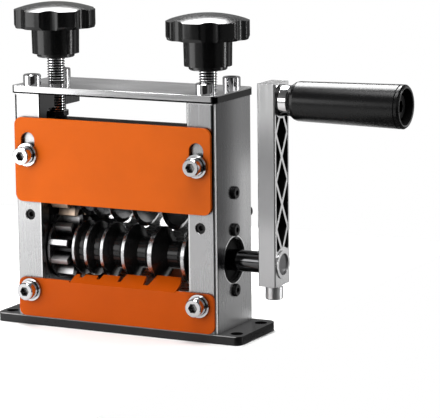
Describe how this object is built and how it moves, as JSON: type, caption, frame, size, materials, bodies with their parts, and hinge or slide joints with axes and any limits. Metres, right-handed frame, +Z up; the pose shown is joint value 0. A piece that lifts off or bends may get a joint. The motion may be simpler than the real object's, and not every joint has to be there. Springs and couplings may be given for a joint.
{
  "type": "hand crank wire stripper",
  "caption": "Bench wire stripper: a hand crank turns a grooved feed roller under round blades on a carriage that two star knobs raise and lower, with front guards.",
  "frame": {"origin": "centre of the base plate's underside", "axes": "+X along the shafts towards the crank, -Y the front with the guards' screws, +Z up"},
  "size_m": [0.2452, 0.0582, 0.1828],
  "materials": {
    "black_base": "gloss black",
    "silver_plates": "satin, fine brushed",
    "top_plate_metal": "fine brushed",
    "bright_screws": "bright plated",
    "bright_washers": "bright plated",
    "spring_washer_steel": "satin",
    "black_screws": "black oxide",
    "orange_guards": "satin orange powder coat",
    "rear_plate": "satin",
    "bearing_seals": "matt black seal",
    "black_shaft": "polished black oxide",
    "roller_steel": "black oxide with bright rims",
    "gear_steel": "machined steel",
    "black_collars": "black oxide",
    "arm_metal": "satin plated",
    "bright_collar": "polished",
    "bolt_steel": "satin",
    "black_grip": "gloss black",
    "carriage_black": "black anodised",
    "blade_steel": "ground tool steel",
    "rod_steel": "plated thread",
    "knob_plastic": "gloss black",
    "bush_black": "black"
  },
  "bodies": {
    "frame": {"base_plate": "black_base", "base_screws": "black_screws", "side_plate_left": "silver_plates", "side_plate_right": "silver_plates", "top_plate": "top_plate_metal", "top_plate_screws": "bright_screws", "front_guard_lower": "orange_guards", "rear_guard": "rear_plate", "guard_screws": "bright_screws", "guard_washers": "bright_washers", "guard_spring_washers": "spring_washer_steel", "rear_guard_screws": "black_screws", "side_screws": "black_screws", "front_set_screws": "black_screws", "drive_bearings": "bearing_seals"},
    "upper_guard": {"front_guard_upper": "orange_guards"},
    "crank": {"drive_shaft": "black_shaft", "feed_roller": "roller_steel", "drive_gear": "gear_steel", "drive_collars": "black_collars", "crank_arm": "arm_metal", "crank_clamp_screw": "bright_screws", "handle_washer": "black_collars", "handle_collar": "bright_collar", "handle_bolt": "bolt_steel"},
    "grip": {"handle_grip": "black_grip"},
    "carriage": {"blade_carriage": "carriage_black", "carriage_bearings": "bearing_seals", "retaining_pins": "bolt_steel"},
    "blade_shaft": {"blade_shaft": "black_shaft", "round_blades": "blade_steel", "blade_spacers": "black_collars", "blade_collar": "black_collars", "blade_gear": "gear_steel"},
    "knob_left": {"adjust_rod_left": "rod_steel", "adjust_knob_left": "knob_plastic", "knob_bush_left": "bush_black"},
    "knob_right": {"adjust_rod_right": "rod_steel", "adjust_knob_right": "knob_plastic", "knob_bush_right": "bush_black"}
  },
  "joints": [
    {"name": "upper_guard_slide", "type": "slide", "parent": "frame", "child": "upper_guard", "axis": [0, 0, 1], "range_m": [-0.009, 0.0025]},
    {"name": "crank_turn", "type": "hinge", "parent": "frame", "child": "crank", "pos_m": [0, 0, 0.043], "axis": [1, 0, 0], "continuous": true},
    {"name": "grip_spin", "type": "hinge", "parent": "crank", "child": "grip", "pos_m": [0.13, 0, 0.1337], "axis": [1, 0, 0], "continuous": true},
    {"name": "carriage_slide", "type": "slide", "parent": "frame", "child": "carriage", "axis": [0, 0, 1], "range_m": [-0.004, 0]},
    {"name": "blade_turn", "type": "hinge", "parent": "carriage", "child": "blade_shaft", "pos_m": [0, 0, 0.0785], "axis": [1, 0, 0], "continuous": true},
    {"name": "knob_left_turn", "type": "hinge", "parent": "carriage", "child": "knob_left", "pos_m": [-0.0487, 0, 0.15], "axis": [0, 0, 1], "range_deg": [-960.5, 0.5]},
    {"name": "knob_right_turn", "type": "hinge", "parent": "carriage", "child": "knob_right", "pos_m": [0.0487, 0, 0.15], "axis": [0, 0, 1], "range_deg": [-960.5, 0.5]}
  ],
  "couplings": [
    {"joint": "blade_turn", "follows": "crank_turn", "ratio": -1},
    {"joint": "knob_left_turn", "follows": "carriage_slide", "rad_per_m": 4188.8},
    {"joint": "knob_right_turn", "follows": "carriage_slide", "rad_per_m": 4188.8}
  ]
}
